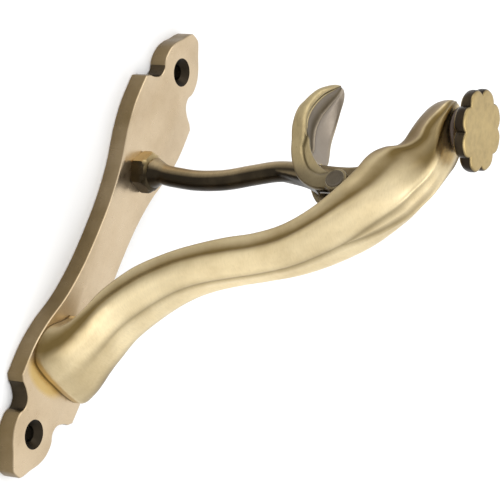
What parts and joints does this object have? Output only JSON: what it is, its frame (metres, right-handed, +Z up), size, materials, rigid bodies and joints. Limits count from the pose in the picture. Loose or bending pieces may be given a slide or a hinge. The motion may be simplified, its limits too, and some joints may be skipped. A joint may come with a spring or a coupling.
{
  "type": "floor door holder",
  "caption": "Brass floor door holder: screwed-down plate, S-shaped arm on a brace, sprung thumb or toe lever and a lobed knob that turns on the end of the arm.",
  "frame": {"origin": "centre of the base plate's underside, on the surface that it is screwed to", "axes": "+Z up out of the plate, +X along the plate towards the arm's foot, Y across; the knob is at -X"},
  "size_m": [0.1746, 0.0346, 0.1302],
  "materials": {
    "satin_brass": "satin brushed antique brass",
    "dark_antique": "dark antique patina, rubbed on its high sides",
    "antique_lever": "antique brass with an olive rim and a grey-brown inside",
    "knob_brass": "satin antique brass with dark edges",
    "worn_bush": "worn bare brass",
    "zinc_steel": "zinc-plated steel",
    "spring_steel": "oiled spring steel"
  },
  "bodies": {
    "holder": {"base_plate": "satin_brass", "arm": "satin_brass", "arm_screws": "zinc_steel", "arm_dowels": "zinc_steel", "strut": "dark_antique", "strut_flange_washer": "dark_antique", "strut_lock_washer": "zinc_steel", "strut_back_nut": "zinc_steel", "saddle_pins": "zinc_steel", "lever_pin": "dark_antique", "lever_stop_pin": "dark_antique", "lever_spring": "spring_steel", "lever_spacer": "worn_bush", "lever_pin_washer": "worn_bush", "knob_collar": "dark_antique", "knob_bush": "worn_bush"},
    "lever": {"lever": "antique_lever", "lever_bushes": "worn_bush"},
    "knob": {"knob": "knob_brass", "knob_spindle": "zinc_steel", "knob_thrust_washer": "worn_bush", "knob_circlip": "spring_steel"}
  },
  "joints": [
    {"name": "lever_press", "type": "hinge", "parent": "holder", "child": "lever", "pos_m": [-0.028, 0, 0.0885], "axis": [0, -1, 0], "range_deg": [0, 8], "stiffness_Nm_per_rad": 0.15, "springref_deg": -11.46},
    {"name": "knob_turn", "type": "hinge", "parent": "holder", "child": "knob", "pos_m": [-0.0548, 0, 0.121], "axis": [0, 0, 1], "continuous": true}
  ]
}
